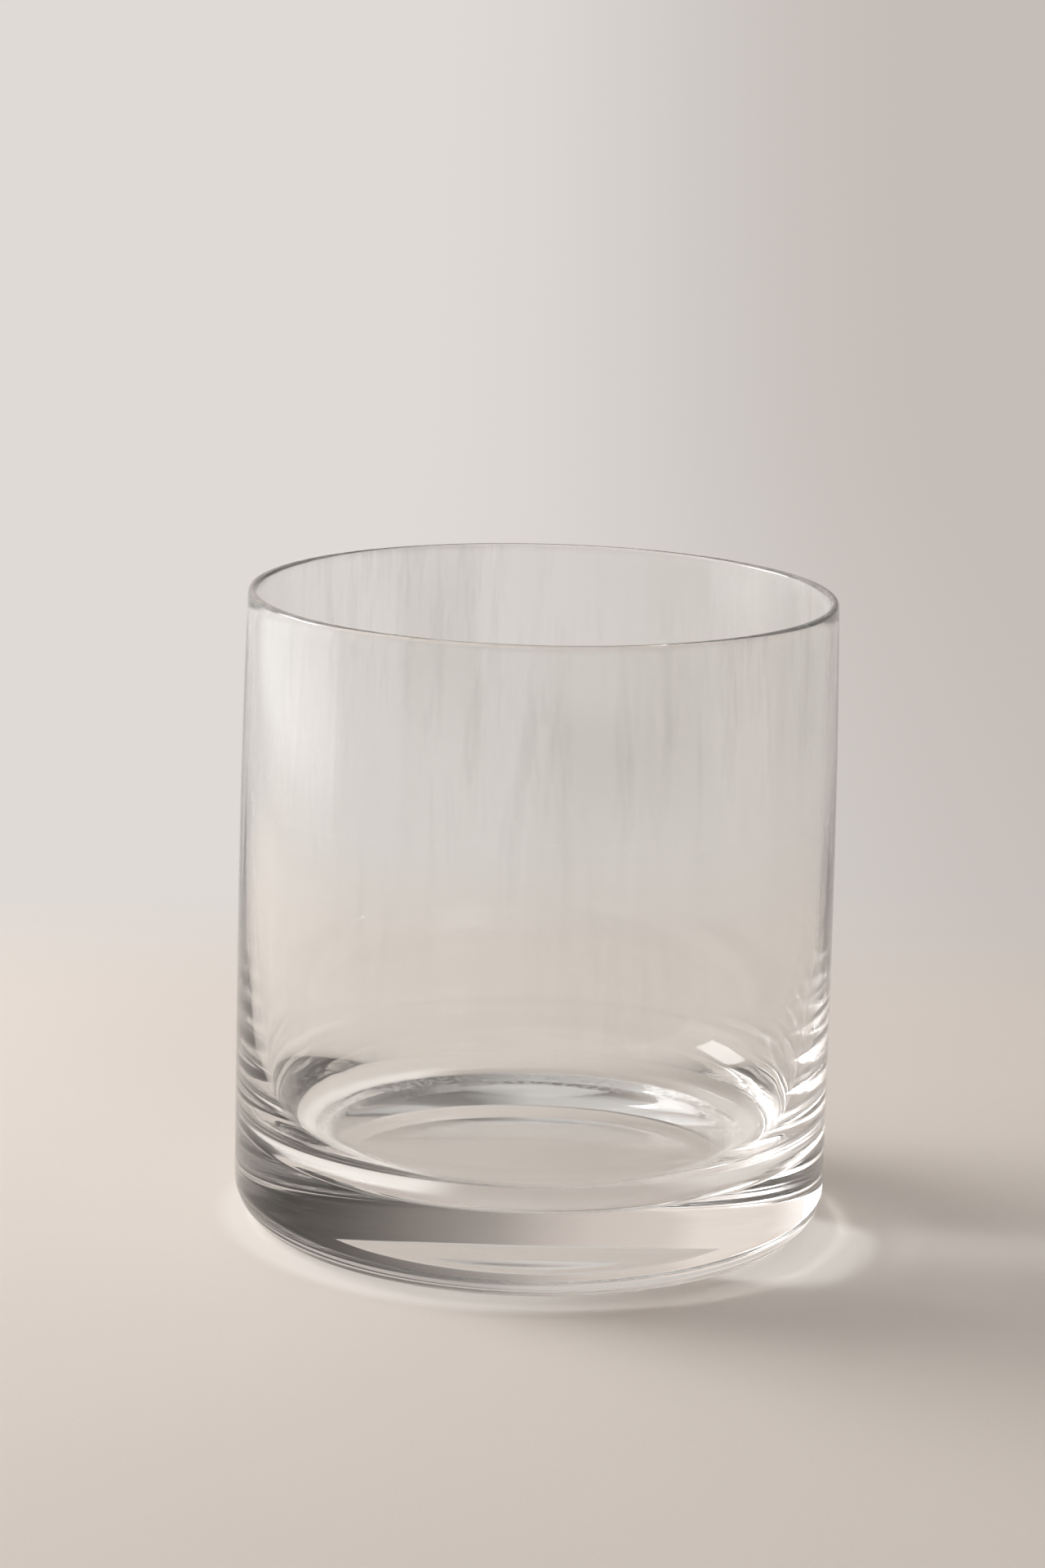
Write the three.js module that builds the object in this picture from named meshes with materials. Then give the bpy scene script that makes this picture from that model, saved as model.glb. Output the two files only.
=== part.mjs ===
// A straight-sided whisky tumbler: one piece of clear glass with a fine fire-polished rim,
// a wall that thickens as it runs down into a heavy base, and a shallow hollow under the foot.
// Millimetres, +Z up. The origin is the centre of the foot, on the surface that the glass stands on.
import * as THREE from "three";

// Overall sizes
const HEIGHT = 90;
const BODY_DIAMETER = 84; // widest, over the lower half of the wall
const RIM_DIAMETER = 82; // the wall draws in a little on its way up to the rim

// Wall
const RIM_WALL = 1.2; // thickness at the rim, whose edge is rounded over the whole thickness
const CORNER_WALL = 3.8; // thickness where the wall meets the inner corner
const RIM_LEAN = THREE.MathUtils.degToRad(2); // how far both faces of the wall lean inwards at the rim
const CORNER_LEAN = THREE.MathUtils.degToRad(10); // how far the inner face leans outwards above the corner

// Base
const BASE_THICKNESS = 8.8; // from the standing surface to the middle of the inner floor
const FLOOR_RADIUS = 250; // the inner floor is a shallow bowl, a part of a sphere of this radius
const INNER_CORNER_RADIUS = 11;
const HEEL_RADIUS = 6; // outer edge of the foot
const FOOT_RING_WIDTH = 3.5; // flat ring that the glass stands on
const PUNT_DEPTH = 1.4; // hollow under the foot, inside the ring

// How far along its height each end of a wall curve holds its own direction
const OUTER_HOLD_LOW = 0.45;
const OUTER_HOLD_HIGH = 0.3;
const INNER_HOLD_HIGH = 0.45;
const INNER_HOLD_LOW = 0.12;

// Facets
const SEGMENTS_AROUND = 80;
const ARC_STEPS = { punt: 5, heel: 5, rim: 6, corner: 9, floor: 4 };
const WALL_STEPS = { outer: 9, inner: 11 };

const bodyRadius = BODY_DIAMETER / 2;
const rimRadius = RIM_DIAMETER / 2;
const lipRadius = RIM_WALL / 2;
const lipHeight = HEIGHT - lipRadius;

// A point that lies a given way from another, along a direction that leans off the vertical.
function along(from, distance, lean) {
  return new THREE.Vector2(from.x + distance * Math.sin(lean), from.y + distance * Math.cos(lean));
}

// A circular arc in the outline, between two angles counted from the radial direction.
function arc(centre, radius, startAngle, endAngle) {
  const clockwise = endAngle < startAngle;
  return new THREE.EllipseCurve(centre.x, centre.y, radius, radius, startAngle, endAngle, clockwise);
}

// Underside: the hollow inside the foot ring, a shallow dome from the axis out to the ring.
function puntCurve() {
  const edgeRadius = bodyRadius - HEEL_RADIUS - FOOT_RING_WIDTH;
  const sphereRadius = (edgeRadius ** 2 + PUNT_DEPTH ** 2) / (2 * PUNT_DEPTH);
  const centre = new THREE.Vector2(0, PUNT_DEPTH - sphereRadius);
  return arc(centre, sphereRadius, Math.PI / 2, Math.acos(edgeRadius / sphereRadius));
}

// Rounded edge between the foot ring and the wall.
function heelCurve() {
  return arc(new THREE.Vector2(bodyRadius - HEEL_RADIUS, HEEL_RADIUS), HEEL_RADIUS, -Math.PI / 2, 0);
}

// Outer face of the wall: upright above the heel, then drawing in towards the rim.
function outerWallCurve() {
  const low = new THREE.Vector2(bodyRadius, HEEL_RADIUS);
  const high = along(new THREE.Vector2(rimRadius - lipRadius, lipHeight), lipRadius, Math.PI / 2 - RIM_LEAN);
  const length = high.y - low.y;
  return new THREE.CubicBezierCurve(
    low,
    along(low, OUTER_HOLD_LOW * length, 0),
    along(high, -OUTER_HOLD_HIGH * length, -RIM_LEAN),
    high,
  );
}

// Fire-polished rim, rounded from the outer face over to the inner one.
function rimCurve() {
  return arc(new THREE.Vector2(rimRadius - lipRadius, lipHeight), lipRadius, RIM_LEAN, Math.PI + RIM_LEAN);
}

// The inner corner's arc: it touches the bowl of the floor at its lower end, where both share one slope,
// and the inner face of the wall begins at its upper end.
const floorCentre = new THREE.Vector2(0, BASE_THICKNESS + FLOOR_RADIUS);
const cornerCentreRadius = bodyRadius - CORNER_WALL - INNER_CORNER_RADIUS * Math.cos(CORNER_LEAN);
const floorSlope = Math.asin(cornerCentreRadius / (FLOOR_RADIUS - INNER_CORNER_RADIUS));
const cornerCentre = new THREE.Vector2(
  cornerCentreRadius,
  floorCentre.y - (FLOOR_RADIUS - INNER_CORNER_RADIUS) * Math.cos(floorSlope),
);
const cornerTop = new THREE.Vector2(
  bodyRadius - CORNER_WALL,
  cornerCentre.y - INNER_CORNER_RADIUS * Math.sin(CORNER_LEAN),
);

// Inner face of the wall, from the rim down to the corner, with the glass thickening on the way.
function innerWallCurve() {
  const high = along(new THREE.Vector2(rimRadius - lipRadius, lipHeight), -lipRadius, Math.PI / 2 - RIM_LEAN);
  const length = high.y - cornerTop.y;
  return new THREE.CubicBezierCurve(
    high,
    along(high, -INNER_HOLD_HIGH * length, -RIM_LEAN),
    along(cornerTop, INNER_HOLD_LOW * length, CORNER_LEAN),
    cornerTop,
  );
}

// Rounded corner between the inner face of the wall and the floor.
function cornerCurve() {
  return arc(cornerCentre, INNER_CORNER_RADIUS, -CORNER_LEAN, floorSlope - Math.PI / 2);
}

// Inner floor, from the corner in to the axis.
function floorCurve() {
  return arc(floorCentre, FLOOR_RADIUS, floorSlope - Math.PI / 2, -Math.PI / 2);
}

// The whole section, from the axis under the foot round to the axis on the inner floor.
function sectionPoints() {
  const stretches = [
    [puntCurve(), ARC_STEPS.punt],
    [heelCurve(), ARC_STEPS.heel],
    [outerWallCurve(), WALL_STEPS.outer],
    [rimCurve(), ARC_STEPS.rim],
    [innerWallCurve(), WALL_STEPS.inner],
    [cornerCurve(), ARC_STEPS.corner],
    [floorCurve(), ARC_STEPS.floor],
  ];
  const points = stretches.flatMap(([curve, steps], i) => {
    const made = curve.getPoints(steps);
    const meetsLast = i > 0 && stretches[i - 1][0].getPoint(1).distanceTo(made[0]) < 1e-6;
    return meetsLast ? made.slice(1) : made;
  });
  points[0].x = 0;
  points[points.length - 1].x = 0;
  return points;
}

const clearGlass = new THREE.MeshStandardMaterial({
  name: "clear_glass",
  color: 0xf2f4f2,
  roughness: 0.03,
  metalness: 0,
  transparent: true,
  opacity: 0.35,
});

const body = new THREE.Mesh(new THREE.LatheGeometry(sectionPoints(), SEGMENTS_AROUND), clearGlass);
body.name = "tumbler_body";
body.rotation.x = Math.PI / 2; // the section is turned about Y, and the glass stands along Z

const tumbler = new THREE.Group();
tumbler.name = "whisky_tumbler";
tumbler.add(body);

export default tumbler;
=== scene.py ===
"""A straight-sided whisky tumbler of clear glass, on a pale table in soft light from the left."""
import math

import bpy
from mathutils import Matrix, Vector, noise


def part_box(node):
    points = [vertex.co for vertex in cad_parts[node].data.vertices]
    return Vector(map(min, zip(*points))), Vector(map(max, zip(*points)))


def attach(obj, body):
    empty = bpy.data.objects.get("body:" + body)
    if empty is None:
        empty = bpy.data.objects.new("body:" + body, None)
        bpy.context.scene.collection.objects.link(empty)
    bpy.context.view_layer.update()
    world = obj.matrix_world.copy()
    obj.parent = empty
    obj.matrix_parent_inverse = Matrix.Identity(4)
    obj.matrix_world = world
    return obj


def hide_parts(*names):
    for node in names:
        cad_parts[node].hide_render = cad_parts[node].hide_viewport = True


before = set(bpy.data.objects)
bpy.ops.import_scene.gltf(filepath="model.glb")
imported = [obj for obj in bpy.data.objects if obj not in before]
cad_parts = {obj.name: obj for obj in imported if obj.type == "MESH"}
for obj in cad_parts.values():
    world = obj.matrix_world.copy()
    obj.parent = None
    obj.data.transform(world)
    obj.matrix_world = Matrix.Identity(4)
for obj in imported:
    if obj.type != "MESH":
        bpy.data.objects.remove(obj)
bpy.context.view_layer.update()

MM = 0.001  # the glass is dimensioned in millimetres, and the scene is in metres

# Glass, in millimetres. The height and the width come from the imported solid.
FOOT_CORNER, TOP_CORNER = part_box("tumbler_body")
HEIGHT = (TOP_CORNER[2] - FOOT_CORNER[2]) / MM
BODY_RADIUS = (TOP_CORNER[0] - FOOT_CORNER[0]) / MM / 2
RIM_RADIUS = 41.0
RIM_WALL = 1.2  # thickness at the rim, whose edge is rounded over the whole thickness
CORNER_WALL = 3.8  # thickness where the wall meets the inner corner
RIM_LEAN = math.radians(2)  # how far both faces of the wall lean inwards at the rim
CORNER_LEAN = math.radians(10)  # how far the inner face leans outwards above the corner
BASE_THICKNESS = 8.8  # from the table to the middle of the inner floor
FLOOR_RADIUS = 250.0  # the inner floor is a shallow bowl, a part of a sphere of this radius
INNER_CORNER_RADIUS = 11.0
HEEL_RADIUS = 6.0  # outer edge of the foot
FOOT_RING_WIDTH = 3.5  # flat ring that the glass stands on
PUNT_DEPTH = 1.4  # hollow under the foot, inside the ring

# How far along its height each end of a wall curve holds its own direction
OUTER_HOLD_LOW = 0.45
OUTER_HOLD_HIGH = 0.3
INNER_HOLD_HIGH = 0.45
INNER_HOLD_LOW = 0.12

# Fineness of the mesh
SEGMENTS_AROUND = 384
STEPS = {"punt": 16, "ring": 8, "heel": 18, "outer": 44,
         "rim": 16, "inner": 48, "corner": 40, "floor": 24}
SAME_POINT = 1e-6  # points of the section that lie closer together than this are one

# Unevenness that blowing leaves in the surfaces, in millimetres
OUTER_WAVE = 0.02  # inwards from the outer face of the wall
INNER_WAVE = 0.025  # to either side of the inner face
FLOOR_WAVE = 0.03  # up and down, in the floor
RIDGE_WAVE = 0.03  # up and down, in the inner corner
STREAKS_AROUND = 7.0  # waves per radian of the streaks in the wall
STREAK_LENGTH = 60.0  # how far up the wall a streak runs before it changes
RIPPLE_WIDTH = 16.0  # width of the ripples in the floor
RIDGE_WIDTH = 2.4  # width of the rings that run round the inner corner
RIDGE_CHANGE = 1.5  # changes of such a ring per radian of its way round

# Streaks and ripples have a large layer and a finer one: their shares, and how many times finer it is
LARGE_SHARE = 0.7
FINE_SHARE = 0.3
FINER_STREAKS = 2.3
SHORTER_STREAKS = 1.7
FINER_RIPPLES = 2.1

# Places in the noise
OUTER_SEED = 3.0
FLOOR_SEED = 5.0
INNER_SEED = 11.0

# Where the unevenness fades in or out, in millimetres
RIM_FADE = (6.0, 1.0)  # how far below the rim the waves begin to fade, and have gone
HEEL_FADE = 8.0  # how far above the heel the outer waves are full
FLOOR_FADE_RADII = (14.0, 28.0)
CORNER_START_RADII = (24.0, 30.0)
CORNER_END_HEIGHTS = (16.0, 26.0)
INNER_START_HEIGHTS = (14.0, 34.0)

# Photograph and camera
PHOTO_WIDTH, PHOTO_HEIGHT = 1280, 1920
LENS = 100.0
SENSOR = 36.0
CAMERA_DISTANCE = 0.6145
CAMERA_ELEVATION = math.radians(14.15)
CAMERA_ROLL = math.radians(1.49)
AIM_PIXEL = (656.1, 1109.0)  # where the middle of the glass lies in the photograph


# Section of the glass
def along(start, distance, lean):
    """A point that lies a given way from another, along a direction that leans off the vertical."""
    return (start[0] + distance * math.sin(lean), start[1] + distance * math.cos(lean))


def arc(centre, radius, start, end, steps):
    """Points of a circular arc, between two angles counted from the radial direction."""
    angles = [start + (end - start) * i / steps for i in range(steps + 1)]
    return [(centre[0] + radius * math.cos(a), centre[1] + radius * math.sin(a)) for a in angles]


def bezier(points, steps):
    """Points of a cubic curve with the given ends and handles."""
    made = []
    for i in range(steps + 1):
        t = i / steps
        shares = ((1 - t) ** 3, 3 * t * (1 - t) ** 2, 3 * t * t * (1 - t), t ** 3)
        made.append(tuple(sum(s * p[axis] for s, p in zip(shares, points)) for axis in (0, 1)))
    return made


def foot_stretches():
    """The hollow under the foot, the ring that the glass stands on and the rounded heel."""
    foot_outer = BODY_RADIUS - HEEL_RADIUS
    foot_inner = foot_outer - FOOT_RING_WIDTH
    sphere = (foot_inner ** 2 + PUNT_DEPTH ** 2) / (2 * PUNT_DEPTH)
    punt_end = math.acos(foot_inner / sphere)
    punt = arc((0.0, PUNT_DEPTH - sphere), sphere, math.pi / 2, punt_end, STEPS["punt"])
    ring = [(foot_inner + FOOT_RING_WIDTH * i / STEPS["ring"], 0.0) for i in range(STEPS["ring"] + 1)]
    heel = arc((foot_outer, HEEL_RADIUS), HEEL_RADIUS, -math.pi / 2, 0.0, STEPS["heel"])
    return {"punt": punt, "ring": ring, "heel": heel}


def outside_stretches(lip, lip_centre):
    """The outer face of the wall and the fire-polished rim."""
    low = (BODY_RADIUS, HEEL_RADIUS)
    high = along(lip_centre, lip, math.pi / 2 - RIM_LEAN)
    length = high[1] - low[1]
    low_handle = along(low, OUTER_HOLD_LOW * length, 0.0)
    high_handle = along(high, -OUTER_HOLD_HIGH * length, -RIM_LEAN)
    outer = bezier((low, low_handle, high_handle, high), STEPS["outer"])
    rim = arc(lip_centre, lip, RIM_LEAN, math.pi + RIM_LEAN, STEPS["rim"])
    return {"outer": outer, "rim": rim}


def inside_stretches(lip, lip_centre):
    """The inner face of the wall, the rounded inner corner and the bowl of the floor."""
    floor_centre = (0.0, BASE_THICKNESS + FLOOR_RADIUS)
    to_corner = FLOOR_RADIUS - INNER_CORNER_RADIUS
    corner_across = BODY_RADIUS - CORNER_WALL - INNER_CORNER_RADIUS * math.cos(CORNER_LEAN)
    slope = math.asin(corner_across / to_corner)
    corner_centre = (corner_across, floor_centre[1] - to_corner * math.cos(slope))
    low = (BODY_RADIUS - CORNER_WALL, corner_centre[1] - INNER_CORNER_RADIUS * math.sin(CORNER_LEAN))
    high = along(lip_centre, -lip, math.pi / 2 - RIM_LEAN)
    length = high[1] - low[1]
    high_handle = along(high, -INNER_HOLD_HIGH * length, -RIM_LEAN)
    low_handle = along(low, INNER_HOLD_LOW * length, CORNER_LEAN)
    inner = bezier((high, high_handle, low_handle, low), STEPS["inner"])
    floor_start = slope - math.pi / 2
    corner = arc(corner_centre, INNER_CORNER_RADIUS, -CORNER_LEAN, floor_start, STEPS["corner"])
    floor = arc(floor_centre, FLOOR_RADIUS, floor_start, -math.pi / 2, STEPS["floor"])
    return {"inner": inner, "corner": corner, "floor": floor}


def section():
    """The outline from the axis under the foot round to the axis on the floor, named by stretch."""
    lip = RIM_WALL / 2
    lip_centre = (RIM_RADIUS - lip, HEIGHT - lip)
    return {**foot_stretches(), **outside_stretches(lip, lip_centre),
            **inside_stretches(lip, lip_centre)}


# Unevenness of the surfaces
def ease(value, low, high):
    """0 below low, 1 above high, and a smooth step between."""
    t = min(max((value - low) / (high - low), 0.0), 1.0)
    return t * t * (3 - 2 * t)


def layered(place, finer_place):
    """Noise between -1 and 1 in a large layer and a finer one."""
    return noise.noise(place) * LARGE_SHARE + noise.noise(finer_place) * FINE_SHARE


def streaks(angle, height, seed):
    """Unevenness between -1 and 1 that runs up and down the wall in long streaks."""
    place = Vector((math.cos(angle), math.sin(angle), 0.0)) * STREAKS_AROUND
    drift = Vector((0.0, 0.0, height / STREAK_LENGTH + seed))
    return layered(place + drift, place * FINER_STREAKS + drift * SHORTER_STREAKS)


def ripples(x, y, seed):
    """Unevenness between -1 and 1 that lies in the floor in broad ripples."""
    place = Vector((x, y, 0.0)) / RIPPLE_WIDTH + Vector((0.0, 0.0, seed))
    return layered(place, place * FINER_RIPPLES)


def ridges(radius, height, angle):
    """Unevenness between -1 and 1 in rings round the inner corner, which change slowly on the way."""
    across = (radius - height) / RIDGE_WIDTH
    return noise.noise(Vector((math.cos(angle) * RIDGE_CHANGE, math.sin(angle) * RIDGE_CHANGE, across)))


def uneven(stretch, radius, height, angle):
    """A point of the section at one angle, with its stretch's unevenness. The outer face only sinks."""
    clear_of_rim = 1 - ease(height, HEIGHT - RIM_FADE[0], HEIGHT - RIM_FADE[1])
    if stretch == "outer":
        clear_of_heel = ease(height, HEEL_RADIUS, HEEL_RADIUS + HEEL_FADE)
        depth = (1 + streaks(angle, height, OUTER_SEED)) / 2
        radius -= OUTER_WAVE * clear_of_rim * clear_of_heel * depth
    elif stretch in ("inner", "corner", "floor"):
        on_floor = 1 - ease(radius, *FLOOR_FADE_RADII)
        x, y = radius * math.cos(angle), radius * math.sin(angle)
        height += FLOOR_WAVE * on_floor * ripples(x, y, FLOOR_SEED)
        in_corner = ease(radius, *CORNER_START_RADII) * (1 - ease(height, *CORNER_END_HEIGHTS))
        height += RIDGE_WAVE * in_corner * ridges(radius, height, angle)
        clear_of_corner = ease(height, *INNER_START_HEIGHTS)
        radius += INNER_WAVE * clear_of_corner * clear_of_rim * streaks(angle, height, INNER_SEED)
    return radius, height


def glass_mesh():
    """The section turned about the axis, as one closed mesh."""
    profile = []
    for stretch, points in section().items():
        for point in points:
            if not profile or math.dist(profile[-1][1], point) > SAME_POINT:
                profile.append((stretch, point))
    inside = profile[1:-1]
    verts = [(0.0, 0.0, profile[0][1][1] * MM)]
    for stretch, (radius, height) in inside:
        for i in range(SEGMENTS_AROUND):
            angle = math.tau * i / SEGMENTS_AROUND
            r, z = uneven(stretch, radius, height, angle)
            verts.append((r * math.cos(angle) * MM, r * math.sin(angle) * MM, z * MM))
    verts.append((0.0, 0.0, profile[-1][1][1] * MM))

    last = len(verts) - 1
    rows = len(inside)

    def vertex(row, i):
        """The number of a vertex, by its row and its place around."""
        return 1 + row * SEGMENTS_AROUND + i % SEGMENTS_AROUND

    faces = []
    for i in range(SEGMENTS_AROUND):
        faces.append((0, vertex(0, i + 1), vertex(0, i)))
        for row in range(rows - 1):
            faces.append((vertex(row, i), vertex(row, i + 1),
                          vertex(row + 1, i + 1), vertex(row + 1, i)))
        faces.append((last, vertex(rows - 1, i), vertex(rows - 1, i + 1)))
    mesh = bpy.data.meshes.new("tumbler_glass")
    mesh.from_pydata(verts, [], faces)
    mesh.validate()
    mesh.polygons.foreach_set("use_smooth", [True] * len(mesh.polygons))
    return mesh


# Node trees
class Nodes:
    """A node tree that is built from short calls."""

    def __init__(self, tree):
        self.nodes, self.links = tree.nodes, tree.links
        self.nodes.clear()

    def add(self, kind, settings=None, **inputs):
        """A node with some settings. Each input is a value, or the output of another node.

        An input has its socket's name, with underscores for spaces, or an underscore and its number.
        """
        node = self.nodes.new("ShaderNode" + kind)
        for name, value in (settings or {}).items():
            setattr(node, name, value)
        for name, value in inputs.items():
            key = int(name[1:]) if name[0] == "_" else name.replace("_", " ")
            socket = node.inputs[key]
            if isinstance(value, bpy.types.NodeSocket):
                self.links.new(value, socket)
            else:
                socket.default_value = value
        return node

    def math(self, operation, first, second):
        """The result of one operation on two values."""
        return self.add("Math", {"operation": operation}, _0=first, _1=second).outputs["Value"]

    def product(self, *factors):
        """The product of several values."""
        total = factors[0]
        for factor in factors[1:]:
            total = self.math("MULTIPLY", total, factor)
        return total

    def ramp(self, source, start, end, low=0.0, high=1.0):
        """A smooth step from low to high, while the source goes from start to end."""
        return self.add("MapRange", {"interpolation_type": "SMOOTHSTEP"}, Value=source, From_Min=start,
                        From_Max=end, To_Min=low, To_Max=high).outputs["Result"]

    def noise(self, place, scale, detail, roughness=0.5):
        """Noise between 0 and 1."""
        return self.add("TexNoise", Vector=place, Scale=scale, Detail=detail,
                        Roughness=roughness).outputs["Fac"]

    def colours(self, source, stops):
        """A colour ramp with the given positions and colours."""
        node = self.add("ValToRGB", Fac=source)
        elements = node.color_ramp.elements
        while len(elements) < len(stops):
            elements.new(0.5)
        for element, (position, colour) in zip(elements, stops):
            element.position = position
            element.color = colour
        return node.outputs["Color"]

    def mix(self, factor, first, second):
        """The first colour where the factor is 0, and the second one where it is 1."""
        return self.add("Mix", {"data_type": "RGBA"}, Factor=factor, _6=first, _7=second).outputs[2]

    def mix_shaders(self, factor, first, second):
        """The first shader where the factor is 0, and the second one where it is 1."""
        return self.add("MixShader", Fac=factor, _1=first, _2=second).outputs["Shader"]


def rgb(red, green, blue):
    """A colour written as 8-bit display values, as linear red, green, blue and alpha."""
    def linear(value):
        """One value, by the standard display curve."""
        share = value / 255
        return share / 12.92 if share <= 0.04045 else ((share + 0.055) / 1.055) ** 2.4
    return (linear(red), linear(green), linear(blue), 1.0)


# Materials. A pair of heights, lengths or noise values is where something begins and where it is full,
# or where it begins to fade and where it has gone.
MOTTLE = (0.3, 0.7)  # from the first tone of a mottled colour to the second

# The glass. Heights are in metres, and noise scales are per metre.
GLASS_INDEX = 1.52
GLASS_TINTS = ((0.975, 0.98, 0.975, 1.0), (0.99, 0.99, 0.985, 1.0))
ABSORPTION = 2.0  # of light on its way through the glass, per metre
ABSORPTION_COLOUR = (0.06, 0.03, 0.0, 1.0)  # what it spares, so that thick glass looks a little warm

# Haze: the share of the light that a face scatters
HAZE = 0.012
BASE_HAZE = 0.1 * HAZE
HAZE_HEIGHTS = (0.015, 0.04)  # from the base's haze to the wall's
RIM_HAZE = 0.05  # what the fire-polished rim adds to that
RIM_HEIGHTS = (0.0885, 0.0896)
STREAK_HAZE = 0.05  # what the drawn streaks add to that
TOP_STREAKS = 4.0  # how many times stronger the streaks are near the top
TOP_HEIGHTS = (0.055, 0.08)
STREAK_HEIGHTS = (0.02, 0.05)
DRAWN_OUT = 0.11  # scale of the streaks' noise upwards, against its scale across
FINE_STREAKS = 330.0
BROAD_STREAKS = 70.0
STREAK_NOISE = (0.5, 0.68)
STREAK_SHARE = 0.5  # of the fine ones, and of the broad ones
PATCHES = 28.0
PATCH_NOISE = (0.35, 0.6)
PATCH_SHARES = (0.15, 1.0)  # what the weakest and the strongest patch show of the streaks

# Specks of dust, one to a cell of a pattern, in a few of the cells
SPECK_CELLS = 75.0
SPECK_CHOICE = (0.86, 0.88)  # random number of a cell from which it has one
SPECK_RADII = (0.008, 0.014)  # as shares of a cell
SPECK_STRENGTH = 0.7

# Scuffs that tables leave on the foot ring
SCUFF_SCALE = 900.0
SCUFF_NOISE = (0.4, 0.6)
SCUFF_HEIGHTS = (0.0, 0.0003)
SCUFF_ROUGHNESS = 0.22


def drawn_streaks(tree, place, height, broad, drawn):
    """Strength of the streaks of haze that run up the wall, fine and broad ones, in patches."""
    fine = tree.noise(drawn, FINE_STREAKS, detail=3.0, roughness=0.6)
    patches = tree.noise(place, PATCHES, detail=1.0)
    strength = tree.math("ADD", tree.ramp(fine, *STREAK_NOISE, 0.0, STREAK_SHARE),
                         tree.ramp(broad, *STREAK_NOISE, 0.0, STREAK_SHARE))
    return tree.product(strength, tree.ramp(patches, *PATCH_NOISE, *PATCH_SHARES),
                        tree.ramp(height, *STREAK_HEIGHTS),
                        tree.ramp(height, *TOP_HEIGHTS, 1.0, TOP_STREAKS))


def dust(tree, place):
    """Strength of the specks of dust."""
    cells = tree.add("TexVoronoi", Vector=place, Scale=SPECK_CELLS).outputs
    choice = tree.add("SeparateXYZ", Vector=cells["Color"]).outputs["X"]
    speck = tree.ramp(cells["Distance"], *SPECK_RADII, 1.0, 0.0)
    return tree.product(speck, tree.ramp(choice, *SPECK_CHOICE), SPECK_STRENGTH)


def glass_material():
    """Clear glass with faint drawn streaks, a few specks of dust, a soft rim and a scuffed foot ring."""
    material = bpy.data.materials.new("clear_glass")
    material.use_nodes = True
    tree = Nodes(material.node_tree)
    place = tree.add("TexCoord").outputs["Object"]
    height = tree.add("SeparateXYZ", Vector=place).outputs["Z"]
    drawn = tree.add("Mapping", Vector=place, Scale=(1.0, 1.0, DRAWN_OUT)).outputs["Vector"]
    broad = tree.noise(drawn, BROAD_STREAKS, detail=2.0)

    streak_haze = tree.product(drawn_streaks(tree, place, height, broad, drawn), STREAK_HAZE)
    haze = tree.math("ADD", streak_haze, tree.ramp(height, *HAZE_HEIGHTS, BASE_HAZE, HAZE))
    haze = tree.math("ADD", haze, tree.ramp(height, *RIM_HEIGHTS, 0.0, RIM_HAZE))
    clear = tree.math("SUBTRACT", 1.0, tree.math("MAXIMUM", haze, dust(tree, place)))

    scuffs = tree.ramp(tree.noise(place, SCUFF_SCALE, detail=3.0), *SCUFF_NOISE)
    rough = tree.product(tree.ramp(height, *SCUFF_HEIGHTS, 1.0, 0.0), scuffs, SCUFF_ROUGHNESS)
    tint = tree.colours(broad, list(zip(MOTTLE, GLASS_TINTS)))
    shader = tree.add("BsdfPrincipled", Base_Color=tint, Roughness=rough, IOR=GLASS_INDEX,
                      Transmission_Weight=clear)
    depth = tree.add("VolumeAbsorption", Color=ABSORPTION_COLOUR, Density=ABSORPTION)
    tree.add("OutputMaterial", Surface=shader.outputs["BSDF"], Volume=depth.outputs["Volume"])
    return material


# The table. Lengths are in metres from the middle of the foot, and noise scales are per metre.
TABLE_TONES = ((0.78, 0.720, 0.669, 1.0), (0.80, 0.741, 0.692, 1.0))
TABLE_ROUGHNESS = 0.7
TABLE_SHINE = 0.2
MOTTLE_SCALE = 9.0
TOOTH_SCALE = 2200.0
TOOTH_STRENGTH = 0.12
TOOTH_DEPTH = 0.0002

# Its far part is the backdrop, which shows a pale tone of its own with painted light on it: lighter on the
# left and darker on the right, as if lit from the left
BACKDROP_TONES_WITH_PAINTED_FALLOFF = (rgb(223, 218, 214), rgb(196, 189, 184))  # on the left and on the right
BACKDROP_PAINTED_FALLOFF_ACROSS = (-0.05, 0.13)  # from the one to the other
BACKDROP_BEHIND = (0.1, 0.2)  # from the table's paint to the backdrop

# Seen through the glass, the table shows a share of a pale tone beside the foot, and under the foot a larger
# share of a painted light tone, in place of the light that the glass lets through onto it
PAINTED_FOOT_LIGHT_TONE = rgb(220, 210, 203)
FOOT_BORDER = (0.040, 0.046)  # from under the foot to beside it
PAINTED_SHARE_UNDER_FOOT = 0.45
PALE_BESIDE_FOOT = 0.05

# A painted caustic: the table shows painted light in a ring under the foot, on the left and on the right,
# where the glass would gather light: shares of white there
PAINTED_LIGHT_WHITE = (1.0, 0.95, 0.895, 1.0)
LEFT_PAINTED_GLOW = 0.85
RIGHT_PAINTED_GLOW = 0.5
LEFT_PAINTED_GLOW_END = (-0.02, -0.01)
RIGHT_PAINTED_GLOW_START = (0.02, 0.032)
PAINTED_GLOW_INNER_EDGE = (0.0305, 0.033)
PAINTED_GLOW_OUTER_EDGE = (0.039, 0.043)

# Painted light, a painted caustic, also spills out on the table from under the foot. Start and full are the
# cosines of the angle to the direction at which it begins and is full. It narrows by its taper on its way
# out, and fades from hold to reach.
FOOT_EDGE = 0.042
LEFT_PAINTED_SPILL = {"direction": (-0.8, -0.6, 0.0), "start": 0.1, "full": 0.8, "taper": 0.0,
              "hold": FOOT_EDGE, "reach": 0.0455, "strength": 0.35}
RIGHT_PAINTED_SPILL = {"direction": (0.927, -0.375, 0.0), "start": 0.91, "full": 0.955, "taper": 4.5,
               "hold": 0.047, "reach": 0.055, "strength": 0.36}

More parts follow.
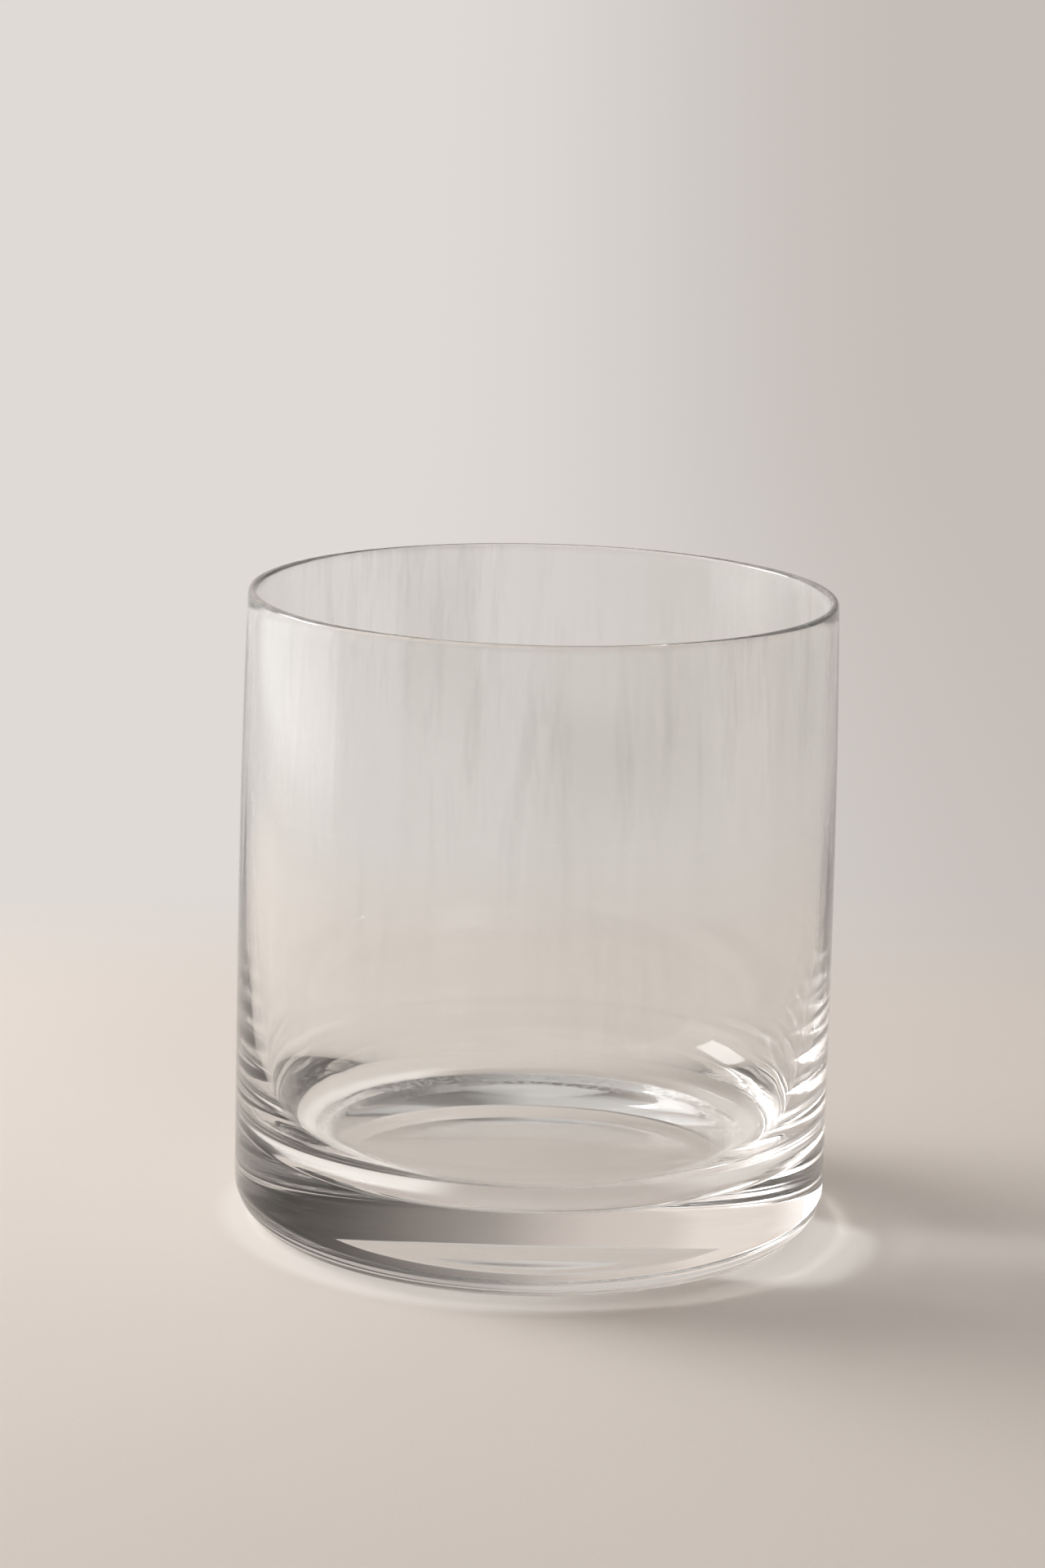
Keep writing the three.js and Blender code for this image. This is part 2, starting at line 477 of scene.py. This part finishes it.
# A painted streak of light runs out to the right, through the shadow
PAINTED_STREAK_GLOW = 0.12
PAINTED_STREAK_FRONT = (-0.027, -0.013)
PAINTED_STREAK_BACK = (-0.01, 0.003)
PAINTED_STREAK_START = (0.042, 0.05)


def table_paint(tree, place):
    """Pale warm paint with a fine tooth."""
    mottle = tree.noise(place, MOTTLE_SCALE, detail=3.0)
    paint = tree.colours(mottle, list(zip(MOTTLE, TABLE_TONES)))
    tooth = tree.noise(place, TOOTH_SCALE, detail=2.0)
    bump = tree.add("Bump", Height=tooth, Strength=TOOTH_STRENGTH, Distance=TOOTH_DEPTH)
    return tree.add("BsdfPrincipled", Base_Color=paint, Roughness=TABLE_ROUGHNESS,
                    Specular_IOR_Level=TABLE_SHINE, Normal=bump.outputs["Normal"]).outputs["BSDF"]


def painted_spill(tree, place, far, direction, start, full, taper, hold, reach, strength):
    """Share of painted white light where light would spill out from under one side of the foot."""
    toward = tree.add("VectorMath", {"operation": "DOT_PRODUCT"}, _0=place, _1=direction)
    closeness = tree.math("DIVIDE", toward.outputs["Value"], far)
    narrowing = tree.product(tree.math("SUBTRACT", far, FOOT_EDGE), taper)
    narrowed = tree.math("SUBTRACT", closeness, narrowing)
    return tree.product(tree.ramp(narrowed, start, full), tree.ramp(far, hold, reach, strength, 0.0))


def painted_light_beside_foot(tree, place, far, split):
    """Share of painted white light on the table round the glass: painted caustics beside the foot and a
    painted streak through the shadow.
    """
    painted_spilt = tree.math("MAXIMUM", painted_spill(tree, place, far, **LEFT_PAINTED_SPILL),
                      painted_spill(tree, place, far, **RIGHT_PAINTED_SPILL))
    # painted streak of light through the shadow
    streak = tree.product(tree.ramp(split["Y"], *PAINTED_STREAK_FRONT),
                          tree.ramp(split["Y"], *PAINTED_STREAK_BACK, 1.0, 0.0),
                          tree.ramp(split["X"], *PAINTED_STREAK_START, 0.0, PAINTED_STREAK_GLOW))
    return tree.math("MAXIMUM", painted_spilt, streak)


def painted_light_under_foot(tree, far, split):
    """Share of painted white light that the glass shows under the left and the right edge of its foot, a
    painted caustic.
    """
    ring = tree.product(tree.ramp(far, *PAINTED_GLOW_INNER_EDGE), tree.ramp(far, *PAINTED_GLOW_OUTER_EDGE, 1.0, 0.0))
    sides = tree.math("MAXIMUM", tree.ramp(split["X"], *LEFT_PAINTED_GLOW_END, LEFT_PAINTED_GLOW, 0.0),
                      tree.ramp(split["X"], *RIGHT_PAINTED_GLOW_START, 0.0, RIGHT_PAINTED_GLOW))
    return tree.product(ring, sides)


def table_material():
    """Paint that turns into the backdrop far behind, with painted light where the glass would throw light on
    it.
    """
    material = bpy.data.materials.new("pale_table")
    material.use_nodes = True
    tree = Nodes(material.node_tree)
    place = tree.add("TexCoord").outputs["Object"]
    split = tree.add("SeparateXYZ", Vector=place).outputs
    far = tree.add("VectorMath", {"operation": "LENGTH"}, Vector=place).outputs["Value"]
    rays = tree.add("LightPath").outputs
    by_camera, through_glass = rays["Is Camera Ray"], rays["Is Transmission Ray"]
    seen = tree.math("MAXIMUM", tree.math("MAXIMUM", by_camera, rays["Is Glossy Ray"]), through_glass)

    # painted light: the backdrop's tone falls off from the lit left to the right
    across = tree.ramp(split["X"], *BACKDROP_PAINTED_FALLOFF_ACROSS)
    tone = tree.colours(across, list(zip((0.0, 1.0), BACKDROP_TONES_WITH_PAINTED_FALLOFF)))
    # painted light tone under the foot, the backdrop's tone beside it
    tone = tree.mix(tree.ramp(far, *FOOT_BORDER), PAINTED_FOOT_LIGHT_TONE, tone)
    behind = tree.product(tree.ramp(split["Y"], *BACKDROP_BEHIND), seen)
    # for rays through the glass: a share of painted light under the foot, and of the pale tone beside it
    below = tree.product(tree.ramp(far, *FOOT_BORDER, PAINTED_SHARE_UNDER_FOOT, PALE_BESIDE_FOOT), through_glass)
    pale = tree.add("Emission", Color=tone).outputs["Emission"]
    mixed = tree.mix_shaders(tree.math("MAXIMUM", behind, below), table_paint(tree, place), pale)

    # painted caustic under the foot, seen through the glass
    painted_gathered = tree.product(painted_light_under_foot(tree, far, split), through_glass)
    # painted light spilt beside the foot, seen by the camera
    painted_spilt = tree.product(painted_light_beside_foot(tree, place, far, split), by_camera)
    # white of the painted light
    white = tree.add("Emission", Color=PAINTED_LIGHT_WHITE).outputs["Emission"]
    mixed = tree.mix_shaders(tree.math("MAXIMUM", painted_gathered, painted_spilt), mixed, white)
    tree.add("OutputMaterial", Surface=mixed)
    return material


# Stage: a table that sweeps up a little way behind the glass
TABLE_DROP = 0.00005  # the table lies this far under the foot, so that the two faces stay apart
SWEEP_START = 0.7
SWEEP_RADIUS = 0.3
SWEEP_TURN = math.radians(60)
SWEEP_STEPS = 24
STAGE_HALF_WIDTH = 2.5
STAGE_FRONT = -2.5


def build_stage():
    """The table, as one sheet."""
    side = [(STAGE_FRONT, 0.0), (SWEEP_START, 0.0)]
    for i in range(1, SWEEP_STEPS + 1):
        a = SWEEP_TURN * i / SWEEP_STEPS
        side.append((SWEEP_START + SWEEP_RADIUS * math.sin(a), SWEEP_RADIUS * (1 - math.cos(a))))
    verts = [(x, y, z - TABLE_DROP) for y, z in side for x in (-STAGE_HALF_WIDTH, STAGE_HALF_WIDTH)]
    faces = [(2 * i, 2 * i + 1, 2 * i + 3, 2 * i + 2) for i in range(len(side) - 1)]
    mesh = bpy.data.meshes.new("pale_table")
    mesh.from_pydata(verts, [], faces)
    mesh.polygons.foreach_set("use_smooth", [True] * len(mesh.polygons))
    table = bpy.data.objects.new("pale_table", mesh)
    bpy.context.collection.objects.link(table)
    mesh.materials.append(table_material())


# Light. A glow is a brightness, where 1 shows as white.
LIGHT_COLOUR = (1.0, 0.98, 0.96)
WINDOW_COLOUR = (0.98, 0.985, 0.99)
PANE_CENTRE = (-0.27, 0.15, 0.3)
PANE_SIZE = (0.42, 0.60)
PANE_GLOW = 0.9
PANE_SOFT_SIDE = (0.0, 0.6)  # where the glow begins and is full, as shares of the width
PANE_CRISP_SIDE = (0.98, 1.0)  # where it begins to fade and has gone, as shares of the width
PANE_FOOT = (0.0, 0.04)  # where it begins and is full, as shares of the height
SKY_CENTRE = (-0.6, 0.22, 0.3)
SKY_SIZE = (0.32, 0.22)
SKY_GLOW = 8.0
KEY_AZIMUTH = math.radians(-69)
KEY_ELEVATION = math.radians(44)
KEY_DISTANCE = 1.3
KEY_SIZE = 0.8
KEY_POWER = 4.7


def window_part(name, centre, size):
    """An upright lamp that faces the glass from the left, and the nodes of its brightness."""
    light = bpy.data.lights.new(name, "AREA")
    light.shape = "RECTANGLE"
    light.size, light.size_y = size
    light.energy = math.pi * size[0] * size[1]
    light.color = WINDOW_COLOUR
    light.use_nodes = True
    lamp = bpy.data.objects.new(name, light)
    lamp.location = centre
    lamp.rotation_euler = (math.pi / 2, 0.0, -math.pi / 2)
    lamp.visible_camera = False
    bpy.context.collection.objects.link(lamp)
    return Nodes(light.node_tree)


def build_window():
    """A frosted pane that stands at the left, with one crisp side, and a patch of sky behind it."""
    tree = window_part("pane", PANE_CENTRE, PANE_SIZE)
    split = tree.add("SeparateXYZ", Vector=tree.add("NewGeometry").outputs["Parametric"]).outputs
    glow = tree.product(tree.ramp(split["X"], *PANE_SOFT_SIDE),
                        tree.ramp(split["X"], *PANE_CRISP_SIDE, 1.0, 0.0),
                        tree.ramp(split["Y"], *PANE_FOOT, 0.0, PANE_GLOW))
    tree.add("OutputLight", Surface=tree.add("Emission", Strength=glow).outputs["Emission"])
    tree = window_part("sky", SKY_CENTRE, SKY_SIZE)
    tree.add("OutputLight", Surface=tree.add("Emission", Strength=SKY_GLOW).outputs["Emission"])


def build_key():
    """A soft lamp from the left, a little behind the glass, that gives the shadow and no highlight."""
    light = bpy.data.lights.new("key", "AREA")
    light.shape = "DISK"
    light.size = KEY_SIZE
    light.energy = KEY_POWER
    light.color = LIGHT_COLOUR
    key = bpy.data.objects.new("key", light)
    across = math.cos(KEY_ELEVATION)
    toward = Vector((across * math.sin(KEY_AZIMUTH), across * math.cos(KEY_AZIMUTH),
                     math.sin(KEY_ELEVATION)))
    key.location = KEY_DISTANCE * toward
    key.rotation_euler = toward.to_track_quat("Z", "Y").to_euler()
    key.visible_camera = False
    key.visible_glossy = False
    key.visible_transmission = False
    bpy.context.collection.objects.link(key)


# The room round the glass: azimuth in degrees from straight behind it, right positive, and brightness
ROOM = [(-180, 0.03), (-155, 0.06), (-128, 0.3), (-95, 0.8), (-60, 0.9), (-35, 0.88),
        (-25, 0.88), (-19, 0.72), (-8, 0.66), (-2, 0.54), (4, 0.36), (12, 0.24),
        (20, 0.14), (28, 0.07), (40, 0.012), (75, 0.012), (100, 0.03), (180, 0.03)]
CEILING = [(-180, 0.62), (-120, 0.68), (-60, 1.0), (0, 0.8),
           (50, 0.4), (80, 0.12), (135, 0.12), (180, 0.62)]
CEILING_START = math.sin(math.radians(40))
CEILING_FULL = math.sin(math.radians(60))
ROOM_COLOUR = (1.1, 0.98, 0.9)
PALE_ROOM = rgb(214, 208, 203)  # what the camera sees of it beside the table


def build_world():
    """The room and its ceiling. The camera itself sees one pale tone in their place."""
    world = bpy.data.worlds.new("room")
    world.use_nodes = True
    tree = Nodes(world.node_tree)
    split = tree.add("SeparateXYZ", Vector=tree.add("TexCoord").outputs["Generated"]).outputs
    azimuth = tree.math("ARCTAN2", split["X"], split["Y"])
    turn = tree.math("ADD", tree.math("DIVIDE", azimuth, math.tau), 0.5)

    def around(levels, colour):
        """Brightness by azimuth."""
        return tree.colours(turn, [(degrees / 360 + 0.5, tuple(level * c for c in colour) + (1.0,))
                                   for degrees, level in levels])

    upward = tree.ramp(split["Z"], CEILING_START, CEILING_FULL)
    level = tree.mix(upward, around(ROOM, ROOM_COLOUR), around(CEILING, LIGHT_COLOUR))
    level = tree.mix(tree.add("LightPath").outputs["Is Camera Ray"], level, PALE_ROOM)
    tree.add("OutputWorld", Surface=tree.add("Background", Color=level).outputs["Background"])
    bpy.context.scene.world = world


# Camera
def build_camera():
    """The camera that puts the middle of the glass on its pixel, with the photograph's slight roll."""
    data = bpy.data.cameras.new("camera")
    data.lens = LENS
    data.sensor_width = SENSOR
    camera = bpy.data.objects.new("camera", data)
    bpy.context.collection.objects.link(camera)
    aim = Vector((0.0, 0.0, HEIGHT / 2 * MM))
    back = Vector((0.0, -math.cos(CAMERA_ELEVATION), math.sin(CAMERA_ELEVATION)))
    place = aim + CAMERA_DISTANCE * back

    focal = LENS / SENSOR * max(PHOTO_WIDTH, PHOTO_HEIGHT)
    across = (AIM_PIXEL[0] - PHOTO_WIDTH / 2) / focal
    down = (AIM_PIXEL[1] - PHOTO_HEIGHT / 2) / focal
    seen_view = Vector((across, -down, -1.0)).normalized()
    seen_up = Vector((math.sin(CAMERA_ROLL), math.cos(CAMERA_ROLL), 0.0))

    def basis(view, up):
        """A direction of view, the direction square to it that is nearest to up, and their cross product."""
        up = (up - up.dot(view) * view).normalized()
        return Matrix((view, up, view.cross(up))).transposed()

    turn = basis(-back, Vector((0.0, 0.0, 1.0))) @ basis(seen_view, seen_up).transposed()
    camera.matrix_world = Matrix.Translation(place) @ turn.to_4x4()
    bpy.context.scene.camera = camera


def build_glass():
    """The tumbler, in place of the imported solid."""
    mesh = glass_mesh()
    mesh.materials.append(glass_material())
    glass = bpy.data.objects.new("tumbler_glass", mesh)
    bpy.context.collection.objects.link(glass)
    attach(glass, "root")
    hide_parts("tumbler_body")


build_camera()
build_glass()
build_stage()
build_window()
build_key()
build_world()

LIGHT_BOUNCES = 64  # the thick base mirrors light many times before it lets it out

scene = bpy.context.scene
scene.view_settings.view_transform = "Standard"
scene.cycles.max_bounces = LIGHT_BOUNCES
scene.cycles.glossy_bounces = LIGHT_BOUNCES
scene.cycles.transmission_bounces = LIGHT_BOUNCES
scene.cycles.blur_glossy = 0.0
